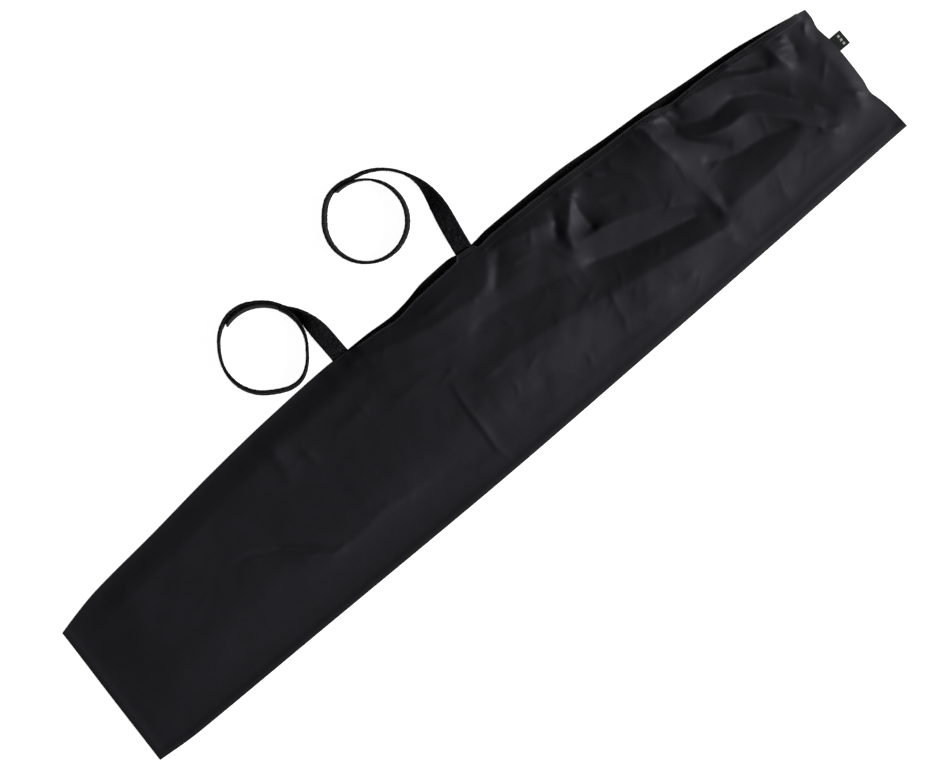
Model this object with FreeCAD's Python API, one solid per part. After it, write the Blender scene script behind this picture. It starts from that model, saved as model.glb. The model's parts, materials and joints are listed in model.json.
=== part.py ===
import FreeCAD, Part
import math
import os

# Limp carry sleeve for a drawing tube or rolled drawings, lying flat and empty.
# Millimetres. +X runs along the sleeve to the end with the label, +Y points to
# the long edge with the mouth, +Z is up. The origin is on the underside.

# ---- cloth and tape ---------------------------------------------------------
CLOTH = 0.6             # one layer of coated nylon
HEM = 1.0               # front lip, the same cloth folded double
TAPE = 0.6              # matte facing tape inside the mouth
PLY_GAP = 0.05          # air between stacked soft layers
SEAM_INSET = 0.8        # the front panel stops this far inside the back panel
THREAD_W = 0.5
THREAD_H = 0.35
BARTACK_CLEAR = 0.3     # strap 1's bartack stands this far off the sloping cloth

# ---- outline of the sleeve --------------------------------------------------
LEFT_X_LOW, LEFT_X_HIGH = -491.0, -483.5        # left end, long-seam side and mouth side
RIGHT_X_LOW, RIGHT_X_HIGH = 488.5, 485.0        # right end, the same
LONG_SEAM = [(-491, -80), (-440, -84), (-290, -85), (-60, -86.5), (140, -84), (300, -81), (489, -76)]
MOUTH_SIDE = [(-491, 79), (-470, 84), (-430, 91), (-350, 98), (-270, 106), (-190, 111.5), (-110, 114),
              (-60, 112.5), (-28, 110.3), (18, 116.5), (52, 117.5), (80, 114.5), (110, 116), (180, 115),
              (290, 106.5), (400, 95), (460, 84.5), (489, 77.5)]
LIP_EDGE = [(-76, 109), (-50, 107), (-22, 104.2), (15, 108.3), (56, 109.5), (61, 114.2), (70, 113.6),
            (78, 112), (83, 107.5), (110, 109), (200, 105), (290, 99.5), (322, 93), (345, 92.5),
            (400, 88), (476, 80)]

# ---- how far the front panel stands off the back one ------------------------
MOUTH_GAP = 6.8         # under the lip and the level part of the front panel, above the back panel
CROWN = [(-491, 0), (-300, 0.5), (0, 2.5), (200, 4.5), (400, 4), (489, 3)]      # added along the middle
EDGE_LIFT = [(-491, 0), (-128, 0), (-107, 2.15), (-84, 2.15), (-72, MOUTH_GAP), (476, MOUTH_GAP), (483, 0)]
BASE_Z = CLOTH + PLY_GAP
SIDE_RISE = 24.0        # distance from a long seam over which the panel rises
LEFT_RISE = 70.0        # the same at the left end, which lies flatter
RIGHT_RISE = 10.0       # the right end is fuller and drops steeply

# ---- mouth and lip ----------------------------------------------------------
MOUTH_X0, MOUTH_X1 = -76.0, 476.0
FOLD_Y0, FOLD_Y1 = 104.0, 73.0                  # the line the lip folds about, at X0 and X1
FOLD_HALF_GAP = 0.7
LIP_Z = BASE_Z + MOUTH_GAP                      # underside of the lip
FACING_W = 12.0
HEM_ROW_OUTER, HEM_ROW_INNER = 2.5, 6.0         # stitch rows, measured in from the lip edge
INNER_ROW_X0, INNER_ROW_X1 = 84.0, 466.0        # the inner row shows only where the lip is wide enough

# ---- straps: hook-and-loop tape sewn flat, then twisted to stand on edge -----
STRAP_W, STRAP_T = 19.0, 2.0
TAB_T = 1.4
SEWN_L = 14.0
ROOT_CLEAR = 1.05       # the free strap starts this far beyond its swing axis
OVERLAP_CLEAR = 0.75    # between the hook tab and the outer layer, with room for the tab's stitching
STRAPS = {
    "strap_1": {
        "root": (-92.5, 115.9), "lean": 0.0, "root_z": BASE_Z + STRAP_T / 2,
        "centre": (-146.8, 166.9), "radius": 43.6,
        "lead": [(-92.6, 130), (-93, 146), (-94.6, 160), (-97.6, 173)],
        "twist": (0.22, 0.95), "join_deg": 27, "outer_lift": 0.0, "outer_bump": (93, 27, 2.6),
        "settle_deg": (112, 156), "sag": (280, 42, 4.6), "tab_deg": (29.6, 107),
    },
    "strap_2": {
        "root": (69.6, 115.4), "lean": 9.0, "root_z": LIP_Z - TAPE - PLY_GAP * 2 - STRAP_T / 2,
        "centre": (13.6, 198.7), "radius": 41.4,
        "lead": [(72.2, 131), (75.2, 147), (78.2, 163), (79.9, 178), (79.2, 193), (75, 207), (67.5, 219.5),
                 (56.5, 230), (42.5, 237.5)],
        "twist": (0.10, 0.70), "join_deg": 72, "outer_lift": 1.2, "outer_bump": (72, 20, 0.0),
        "settle_deg": (98, 142), "sag": None, "tab_deg": (39.6, 96),
    },
}

# ---- label folded into the right end seam -----------------------------------
LABEL_X0, LABEL_X1 = 487.0, 498.8
LABEL_Y0, LABEL_Y1 = 24.0, 40.5
LABEL_T = 1.2

V = FreeCAD.Vector
UP = V(0, 0, 1)


def smooth(t):
    """Ease from 0 to 1 with level ends."""
    t = min(max(t, 0.0), 1.0)
    return t * t * (3 - 2 * t)


def curve(points):
    """A smooth function through (x, y) points that never overshoots them."""
    xs = [p[0] for p in points]
    ys = [p[1] for p in points]
    slopes = [0.0] * len(xs)
    for i in range(1, len(xs) - 1):
        before = (ys[i] - ys[i - 1]) / (xs[i] - xs[i - 1])
        after = (ys[i + 1] - ys[i]) / (xs[i + 1] - xs[i])
        if before * after > 0:
            slopes[i] = 2 * before * after / (before + after)
    slopes[0] = (ys[1] - ys[0]) / (xs[1] - xs[0])
    slopes[-1] = (ys[-1] - ys[-2]) / (xs[-1] - xs[-2])

    def value(x):
        i = 0
        while i < len(xs) - 2 and x > xs[i + 1]:
            i += 1
        h = xs[i + 1] - xs[i]
        t = min(max((x - xs[i]) / h, 0.0), 1.0)
        a = (1 + 2 * t) * (1 - t) ** 2
        b = t * (1 - t) ** 2
        c = t * t * (3 - 2 * t)
        d = t * t * (t - 1)
        return a * ys[i] + b * h * slopes[i] + c * ys[i + 1] + d * h * slopes[i + 1]

    return value


long_seam_y = curve(LONG_SEAM)
mouth_side_y = curve(MOUTH_SIDE)
lip_y = curve(LIP_EDGE)
crown = curve(CROWN)
edge_lift = curve(EDGE_LIFT)


def fold_y(x):
    """The straight line the lip folds about."""
    return FOLD_Y0 + (FOLD_Y1 - FOLD_Y0) * (x - MOUTH_X0) / (MOUTH_X1 - MOUTH_X0)


def end_x(v):
    """The x of both ends at v, from 0 on the long seam to 1 on the mouth side."""
    left = LEFT_X_LOW + v * (LEFT_X_HIGH - LEFT_X_LOW)
    right = RIGHT_X_LOW + v * (RIGHT_X_HIGH - RIGHT_X_LOW)
    return left, right


def panel_top_y(x):
    """The mouth-side edge of the front panel: the closed seam, or the fold line along the mouth."""
    closed = mouth_side_y(x) - SEAM_INSET
    opened = fold_y(x) - FOLD_HALF_GAP
    inside = smooth((x - MOUTH_X0 + 7) / 8) * (1 - smooth((x - MOUTH_X1 + 0.5) / 5))
    return closed + (opened - closed) * inside


def rising(distance, over):
    """From 0 at a seam to 1 where the cloth is level."""
    t = min(max(distance / over, 0.0), 1.0)
    return 1 - (1 - t) ** 2


def front_z(x, y):
    """Underside of the front panel."""
    low = long_seam_y(x) + SEAM_INSET
    high = mouth_side_y(x) - SEAM_INSET
    v = min(max((y - low) / (high - low), 0.0), 1.0)
    left, right = end_x(v)
    ends = rising(x - left - SEAM_INSET, LEFT_RISE) * rising(right - SEAM_INSET - x, RIGHT_RISE)
    toward_mouth = rising(high - y, SIDE_RISE)
    level = MOUTH_GAP * toward_mouth + edge_lift(x) * (1 - toward_mouth)
    middle = crown(x) * (4 * v * (1 - v)) ** 2
    return BASE_Z + ends * rising(y - low, SIDE_RISE) * (level + middle)


def stations(x0, x1, marks, fine=2.5, coarse=22.0):
    """Values from x0 to x1, close together near the marks and wide apart elsewhere."""
    out = [x0]
    while out[-1] < x1:
        near = min(abs(out[-1] - m) for m in marks)
        out.append(out[-1] + min(fine + 0.16 * near, coarse))
    scale = (x1 - x0) / (out[-1] - x0)
    return [x0 + (x - x0) * scale for x in out]


def sheet_solid(lower, upper):
    """A solid between two grids of points of the same size."""
    faces = []
    surfaces = []
    for grid in (lower, upper):
        surface = Part.BSplineSurface()
        surface.interpolate(grid)
        surfaces.append(surface)
        faces.append(surface.toShape())
    u0, u1, v0, v1 = surfaces[0].bounds()
    a0, a1, b0, b1 = surfaces[1].bounds()
    faces.append(Part.makeRuledSurface(surfaces[0].uIso(u0).toShape(), surfaces[1].uIso(a0).toShape()))
    faces.append(Part.makeRuledSurface(surfaces[0].uIso(u1).toShape(), surfaces[1].uIso(a1).toShape()))
    faces.append(Part.makeRuledSurface(surfaces[0].vIso(v0).toShape(), surfaces[1].vIso(b0).toShape()))
    faces.append(Part.makeRuledSurface(surfaces[0].vIso(v1).toShape(), surfaces[1].vIso(b1).toShape()))
    shell = Part.makeShell(faces)
    shell.sewShape()
    solid = Part.Solid(shell)
    if solid.Volume < 0:
        solid.reverse()
    return solid


def draped(xs, low_y, high_y, rows, bottom, thickness):
    """A sheet that follows a height function between two edges."""
    lower, upper = [], []
    for x in xs:
        y0, y1 = low_y(x), high_y(x)
        ys = [y0 + (y1 - y0) * k / rows for k in range(rows + 1)]
        lower.append([V(x, y, bottom(x, y)) for y in ys])
        upper.append([V(x, y, bottom(x, y) + thickness) for y in ys])
    return sheet_solid(lower, upper)


def spline(points):
    """One smooth edge through the points."""
    line = Part.BSplineCurve()
    line.interpolate(points)
    return line.toShape()


def flat_strip(low, high, z, thickness):
    """A level strip between two rows of (x, y) points."""
    a = [V(x, y, z) for x, y in low]
    b = [V(x, y, z) for x, y in high]
    edges = [spline(a), Part.makeLine(a[-1], b[-1]), spline(b), Part.makeLine(b[0], a[0])]
    wire = Part.Wire(Part.__sortEdges__(edges))
    return Part.Face(wire).extrude(UP * thickness)


def back_panel():
    """The cloth the sleeve lies on."""
    low = [(x, long_seam_y(x)) for x in stations(LEFT_X_LOW, RIGHT_X_LOW, (-491, 489), 12, 45)]
    high = [(x, mouth_side_y(x)) for x in stations(LEFT_X_HIGH, RIGHT_X_HIGH, (-484, 0, 60, 485), 9, 40)]
    return flat_strip(low, high, 0, CLOTH)


def front_panel():
    """The upper cloth: a low crown, closed on three sides and open along the mouth."""
    reach = stations(0.0, 1000.0, (0, 406, 414, 422, 985, 993, 1000), 2.4, 24)
    lower, upper = [], []
    for r in reach:
        row = []
        for k in range(23):
            v = (1 - math.cos(math.pi * k / 22)) / 2
            left, right = end_x(v)
            x = left + SEAM_INSET + (right - left - 2 * SEAM_INSET) * r / 1000.0
            y0 = long_seam_y(x) + SEAM_INSET
            y = y0 + (panel_top_y(x) - y0) * v
            row.append(V(x, y, front_z(x, y)))
        lower.append(row)
        upper.append([p + UP * CLOTH for p in row])
    return sheet_solid(lower, upper)


def lip_strip(inner, outer, z, thickness, x0=MOUTH_X0, x1=MOUTH_X1):
    """A level strip of the lip between two edges."""
    xs = stations(x0, x1, (58, 80), 3.0, 20)
    return flat_strip([(x, inner(x)) for x in xs], [(x, outer(x)) for x in xs], z, thickness)


def hem_row(inset, x0, x1):
    """One row of topstitching on the lip."""
    return lip_strip(lambda x: lip_y(x) - inset - THREAD_W / 2, lambda x: lip_y(x) - inset + THREAD_W / 2,
                     LIP_Z + HEM + PLY_GAP, THREAD_H, x0, x1)


def back_tape():
    """Facing tape along the back panel's side of the mouth."""
    xs = stations(MOUTH_X0 - 4, MOUTH_X1 - 2, (0, 60), 9, 30)
    return flat_strip([(x, mouth_side_y(x) - 14) for x in xs], [(x, mouth_side_y(x) - 0.4) for x in xs],
                      CLOTH, TAPE)


def side_thread(edge, sign, x0, x1, z):
    """Seam thread that runs just inside one long edge."""
    xs = stations(x0, x1, (0, 60), 12, 40)
    return flat_strip([(x, edge(x) + sign * 0.1) for x in xs],
                      [(x, edge(x) + sign * (0.1 + THREAD_W)) for x in xs], z, THREAD_H)


def end_thread(side):
    """Seam thread that closes one end."""
    points = []
    for v, x in ((0.006, end_x(0.006)[side]), (0.994, end_x(0.994)[side])):
        y0, y1 = long_seam_y(x), mouth_side_y(x)
        points.append((x, y0 + (y1 - y0) * v))
    inward = 1 if side == 0 else -1
    corners = [V(points[0][0] + inward * 0.1, points[0][1], CLOTH),
               V(points[1][0] + inward * 0.1, points[1][1], CLOTH),
               V(points[1][0] + inward * (0.1 + THREAD_W), points[1][1], CLOTH),
               V(points[0][0] + inward * (0.1 + THREAD_W), points[0][1], CLOTH)]
    return Part.Face(Part.makePolygon(corners + corners[:1])).extrude(UP * THREAD_H)


def turned(spec, along, sideways, z):
    """A point given along and across a strap's root."""
    lean = math.radians(spec["lean"])
    x = spec["root"][0] + along * math.sin(lean) + sideways * math.cos(lean)
    y = spec["root"][1] + along * math.cos(lean) - sideways * math.sin(lean)
    return V(x, y, z)


def root_block(spec, start, stop, width, z, thickness):
    """A flat rectangle of strap or stitching at a strap's root."""
    half = width / 2
    corners = [turned(spec, start, -half, z), turned(spec, start, half, z),
               turned(spec, stop, half, z), turned(spec, stop, -half, z)]
    return Part.Face(Part.makePolygon(corners + corners[:1])).extrude(UP * thickness)


def wound_radius(spec, degrees):
    """Centre-line radius of the wound strap, from the outer layer round to the inner one."""
    ease = 1 - smooth((degrees - spec["settle_deg"][0]) / (spec["settle_deg"][1] - spec["settle_deg"][0]))
    outer = TAB_T + OVERLAP_CLEAR + spec["outer_lift"]
    at, spread, height = spec["outer_bump"]
    outer += height * math.exp(-((degrees - at) / spread) ** 2)
    radius = spec["radius"] + outer * ease
    if spec["sag"]:
        at, half_span, height = spec["sag"]
        radius += height * (1 - smooth(abs(degrees - at) / half_span))
    return radius


def polar(spec, degrees, radius, z=0.0):
    """A point at an angle and radius about a strap's loop."""
    a = math.radians(degrees)
    return V(spec["centre"][0] + radius * math.cos(a), spec["centre"][1] + radius * math.sin(a), z)


def wound_tangent(spec, degrees):
    """Direction of the wound strap at an angle."""
    ahead = polar(spec, degrees + 0.2, wound_radius(spec, degrees + 0.2))
    behind = polar(spec, degrees - 0.2, wound_radius(spec, degrees - 0.2))
    return (ahead - behind).normalize()


def wound_wall(spec, first, last, offset):
    """Edges of one wall of the wound strap: round where the loop is round, free curves elsewhere."""
    settled = spec["settle_deg"][1]
    stretches = [(first, settled, False)]
    if spec["sag"]:
        at, half_span, height = spec["sag"]
        stretches += [(settled, at - half_span, True), (at - half_span, at + half_span, False),
                      (at + half_span, last, True)]
    else:
        stretches.append((settled, last, True))
    edges = []
    for start, stop, is_round in stretches:
        if is_round:
            middle = (start + stop) / 2
            arc = Part.Arc(*[polar(spec, a, spec["radius"] + offset) for a in (start, middle, stop)])
            edges.append(arc.toShape())
            continue
        steps = int((stop - start) / 6) + 1
        points = []
        for k in range(steps + 1):
            a = start + (stop - start) * k / steps
            if k == steps or (k == 0 and start > first):
                points.append(polar(spec, a, spec["radius"] + offset))
                continue
            tangent = wound_tangent(spec, a)
            points.append(polar(spec, a, wound_radius(spec, a)) + V(tangent.y, -tangent.x, 0) * offset)
        edges.append(spline(points))
    return edges


def ends_of(edges):
    """First and last point of a run of edges."""
    return edges[0].valueAt(edges[0].FirstParameter), edges[-1].valueAt(edges[-1].LastParameter)


def on_edge_strip(inside, outside):
    """A strip of tape standing on edge between two walls."""
    a, b = ends_of(inside)
    c, d = ends_of(outside)
    edges = inside + [Part.makeLine(b, d)] + outside + [Part.makeLine(c, a)]
    return Part.Face(Part.Wire(Part.__sortEdges__(edges))).extrude(UP * STRAP_W)


def round_strip(spec, first, last, radius, thickness):
    """A piece of tape or stitching that follows the round of the loop."""
    walls = []
    for r in (radius - thickness / 2, radius + thickness / 2):
        walls.append([Part.Arc(*[polar(spec, a, r) for a in (first, (first + last) / 2, last)]).toShape()])
    return on_edge_strip(*walls)


def strap_section(centre, tangent, twist):
    """The strap's cross-section at a point, turned by twist from lying flat."""
    right = V(tangent.y, -tangent.x, 0)
    wide = right * math.cos(twist) + UP * math.sin(twist)
    a = wide * (STRAP_W / 2)
    b = tangent.cross(wide) * (STRAP_T / 2)
    corners = [centre - a - b, centre + a - b, centre + a + b, centre - a + b]
    return Part.makePolygon(corners + corners[:1])


def strap_solid(spec, last):
    """The free strap: from its root, through a quarter turn, then wound to an angle."""
    start = turned(spec, ROOT_CLEAR, 0, 0)
    join = polar(spec, spec["join_deg"], wound_radius(spec, spec["join_deg"]))
    lean = math.radians(spec["lean"])
    path = Part.BSplineCurve()
    path.interpolate([start] + [V(x, y, 0) for x, y in spec["lead"]] + [join],
                     InitialTangent=V(math.sin(lean), math.cos(lean), 0),
                     FinalTangent=wound_tangent(spec, spec["join_deg"]), Scale=False)
    length = path.length()
    sections = []
    count = 2 * len(spec["lead"]) + 4
    for k in range(count):
        t = k / float(count)
        u = path.parameterAtDistance(length * t, path.FirstParameter)
        twist = math.pi / 2 * smooth((t - spec["twist"][0]) / (spec["twist"][1] - spec["twist"][0]))
        on_floor = STRAP_W / 2 * math.sin(twist) + STRAP_T / 2 * math.cos(twist) + 0.2 * math.sin(2 * twist)
        extra = (spec["root_z"] - STRAP_T / 2) * (1 - smooth(t / 0.42))
        sections.append(strap_section(path.value(u) + UP * (on_floor + extra), path.tangent(u)[0], twist))
    middle = join + UP * (STRAP_W / 2)
    sections.append(strap_section(middle, wound_tangent(spec, spec["join_deg"]), math.pi / 2))
    lead = Part.makeLoft(sections, True, False)
    turn = on_edge_strip(wound_wall(spec, spec["join_deg"], last, -STRAP_T / 2),
                         wound_wall(spec, spec["join_deg"], last, STRAP_T / 2))
    walls = [f for f in lead.Faces + turn.Faces if f.CenterOfMass.distanceToPoint(middle) > 0.05]
    shell = Part.makeShell(walls)
    shell.sewShape()
    solid = Part.Solid(shell)
    if solid.Volume < 0:
        solid.reverse()
    return solid


def strap_parts(name, spec):
    """The nodes of one strap."""
    z = spec["root_z"] - STRAP_T / 2
    tab_from, tab_to = spec["tab_deg"]
    seam = math.degrees(0.9 / spec["radius"])
    inner = spec["radius"] - STRAP_T / 2
    tab_mid = inner + TAB_T / 2
    stitch_mid = inner + TAB_T + PLY_GAP + THREAD_H / 2
    tab = round_strip(spec, tab_from, tab_to, tab_mid, TAB_T)
    rows = []
    for z0 in (2.0, STRAP_W - 2.0 - THREAD_W):
        row = round_strip(spec, tab_from + seam, tab_from + seam * 8, stitch_mid, THREAD_H)
        box = Part.makeBox(400, 400, THREAD_W, V(spec["centre"][0] - 200, spec["centre"][1] - 200, z0))
        rows.append(row.common(box))
    for k in (1, 7):
        rows.append(round_strip(spec, tab_from + seam * k, tab_from + seam * (k + 0.6), stitch_mid, THREAD_H))
    stitches = rows[0]
    for row in rows[1:]:
        stitches = stitches.fuse(row)
    trim = Part.makeBox(400, 400, STRAP_W - 4.0, V(spec["centre"][0] - 200, spec["centre"][1] - 200, 2.0))
    return {
        name + "_sewn_end": root_block(spec, -SEWN_L, -0.15, STRAP_W, z, STRAP_T),
        name + "_tape": strap_solid(spec, 360 + tab_from - seam * 2),
        name + "_hook_tab": tab,
        name + "_tab_thread": stitches.common(trim).removeSplitter(),
    }


def label():
    """Small woven label, folded double, with its fold rounded."""
    body = Part.makeBox(LABEL_X1 - LABEL_X0, LABEL_Y1 - LABEL_Y0, LABEL_T, V(LABEL_X0, LABEL_Y0, 0))
    fold = [e for e in body.Edges if abs(e.CenterOfMass.x - LABEL_X1) < 0.01 and abs(e.Length - 16.5) < 0.01]
    return body.makeFillet(LABEL_T * 0.45, fold)


nodes = {
    "back_panel": back_panel(),
    "front_panel": front_panel(),
    "back_mouth_tape": back_tape(),
    "back_tape_thread": side_thread(lambda x: mouth_side_y(x) - 2.6, -1, MOUTH_X0, MOUTH_X1 - 4, CLOTH + TAPE),
    "front_lip_hem": lip_strip(lambda x: fold_y(x) + FOLD_HALF_GAP, lip_y, LIP_Z, HEM),
    "front_lip_tape": lip_strip(lambda x: max(fold_y(x) + FOLD_HALF_GAP, lip_y(x) - FACING_W),
                                lambda x: lip_y(x) - 0.4, LIP_Z - TAPE - PLY_GAP, TAPE,
                                MOUTH_X0 + 2, MOUTH_X1 - 2),
    "hem_thread_outer": hem_row(HEM_ROW_OUTER, MOUTH_X0 + 1, MOUTH_X1 - 1),
    "hem_thread_inner": hem_row(HEM_ROW_INNER, INNER_ROW_X0, INNER_ROW_X1),
    "long_seam_thread": side_thread(long_seam_y, 1, LEFT_X_LOW + 2, RIGHT_X_LOW - 2, CLOTH),
    "closed_side_thread": side_thread(mouth_side_y, -1, LEFT_X_HIGH + 2, -104, CLOTH),
    "left_end_thread": end_thread(0),
    "right_end_thread": end_thread(1),
    "label": label(),
}
for strap_name, strap_spec in STRAPS.items():
    nodes.update(strap_parts(strap_name, strap_spec))

bar_1 = draped(stations(-99.5, -85.5, (-92,), 3, 6), lambda x: 108.0, lambda x: 110.0, 3,
               lambda x, y: front_z(x, y) + CLOTH + BARTACK_CLEAR, THREAD_H)
nodes["strap_1_bartack"] = bar_1
nodes["strap_2_bartack"] = root_block(STRAPS["strap_2"], -9.8, -7.8, 14, LIP_Z + HEM + PLY_GAP, THREAD_H)

os.makedirs("parts", exist_ok=True)
for node, shape in nodes.items():
    solid = shape.Solids[0]
    solid.exportStep("parts/" + node + ".step")
    print(node, solid.isValid(), round(solid.Volume, 1), len(shape.Solids))
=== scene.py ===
import json
import math

import bpy
import numpy as np
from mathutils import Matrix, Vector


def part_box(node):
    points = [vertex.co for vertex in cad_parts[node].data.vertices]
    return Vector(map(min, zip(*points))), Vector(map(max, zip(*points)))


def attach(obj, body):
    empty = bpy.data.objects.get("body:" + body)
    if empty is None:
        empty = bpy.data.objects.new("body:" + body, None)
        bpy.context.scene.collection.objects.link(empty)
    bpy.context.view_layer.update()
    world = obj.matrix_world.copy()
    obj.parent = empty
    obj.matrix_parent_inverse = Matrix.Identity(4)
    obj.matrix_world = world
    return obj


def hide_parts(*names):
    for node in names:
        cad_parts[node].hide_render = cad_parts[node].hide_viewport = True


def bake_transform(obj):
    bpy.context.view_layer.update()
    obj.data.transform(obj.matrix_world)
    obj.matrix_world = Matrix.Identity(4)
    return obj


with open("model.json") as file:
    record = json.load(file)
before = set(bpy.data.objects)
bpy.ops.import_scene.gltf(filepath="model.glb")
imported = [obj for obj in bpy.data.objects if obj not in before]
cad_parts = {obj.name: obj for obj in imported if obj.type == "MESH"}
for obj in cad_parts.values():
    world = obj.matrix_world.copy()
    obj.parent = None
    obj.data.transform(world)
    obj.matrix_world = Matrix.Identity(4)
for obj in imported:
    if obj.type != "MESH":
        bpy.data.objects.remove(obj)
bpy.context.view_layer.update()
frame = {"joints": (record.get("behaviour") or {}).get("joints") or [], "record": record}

# Limp nylon carry sleeve with a side mouth and two hook-and-loop straps, lying flat and empty.
# Shapes are worked out in millimetres in the shared frame and turned into metres when a mesh is made.
MM = 0.001

# ---- outline of the sleeve: (x, y) along the long sides, (y, x) up the ends ----
LONG_SEAM = [(-491, -80), (-440, -84), (-290, -85), (-60, -86.5), (140, -84), (300, -81), (489, -76)]
MOUTH_SIDE = [(-491, 79), (-470, 84), (-430, 91), (-350, 98), (-270, 106), (-190, 111.5), (-110, 114),
              (-84, 113), (-60, 112.5), (-28, 110.3), (-10, 111.8), (18, 116.5), (52, 117.5), (62, 115),
              (80, 113.8), (100, 115.7), (150, 115.5), (190, 114.5), (250, 109), (300, 105.5), (350, 100),
              (400, 95), (450, 86), (489, 77.5)]
LIP_EDGE = [(-90, 112.5), (-76, 109.2), (-50, 107), (-26, 104), (0, 107), (20, 108), (56, 109.5),
            (61, 114.2), (70, 113.6), (78, 112), (83, 107), (100, 108.2), (150, 107.3), (200, 105),
            (232, 103), (280, 100.6), (302, 98.3), (325, 92.6), (352, 92.4), (400, 88.5), (450, 83.5),
            (482, 80)]
LEFT_END = [(-88, -491), (0, -487.5), (84, -483.8), (100, -483.5)]
RIGHT_END = [(-80, 489), (-55, 487.8), (-40, 485.6), (-26, 482.5), (-12, 484.8), (22, 486), (40, 485),
             (56, 483), (70, 485.6), (90, 485.6)]
LEFT_X, RIGHT_X = -487, 485     # the ends before they are bent to their outlines
MOUTH_X0, MOUTH_X1 = -76.0, 476.0

# ---- heights ----
CLOTH = 0.6
LIP_TOP = 7.95
EDGE_TOP = 1.3
STRAP_TUNNEL_TOP = 3.6          # the seam edge where strap 1 passes out between the two layers
PLATEAU = [(-491, 5.0), (-300, 6.0), (-100, 7.5), (0, 9.0), (200, 9.6), (400, 9.5), (489, 9.0)]
EDGE_LIFT = [(-491, 0), (-124, 0), (-106, 1), (-84, 1), (-70, 2), (474, 2), (486, 0)]   # 1 tunnel, 2 lip
# Beside each edge: a margin that stays down, then the width over which the cloth rises.
MOUTH_MARGIN, MOUTH_RISE = 2, 30
SEAM_MARGIN, SEAM_RISE = 14, 62
LEFT_MARGIN, LEFT_RISE = 4, 75
RIGHT_MARGIN, RIGHT_RISE = 1, 13
SEAM_PUFF, PUFF_INSET, PUFF_WIDTH = 0.9, 3.6, 3.0
SHEET_REACH, SHEET_PASSES = 55.0, 420           # how far a fold is felt, and rounds of settling
TALLER_RIGHT = 0.22             # the right half's folds stand this much taller

# ---- hem, tapes and stitch rows ----
HEM_X0, HEM_DEPTH, HEM_STEP = 78, 8.4, 0.40     # where the hem's layers start to show, and how high they step
HEM_ROW_OUTER, HEM_ROW_INNER = 2.6, 6.0
INNER_ROW_X0, INNER_ROW_X1 = 84, 466            # the lip is wide enough for the inner row only here
BACK_FACING_W, FRONT_FACING_W = 14, 12
SEAM_Z = 0.66

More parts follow.
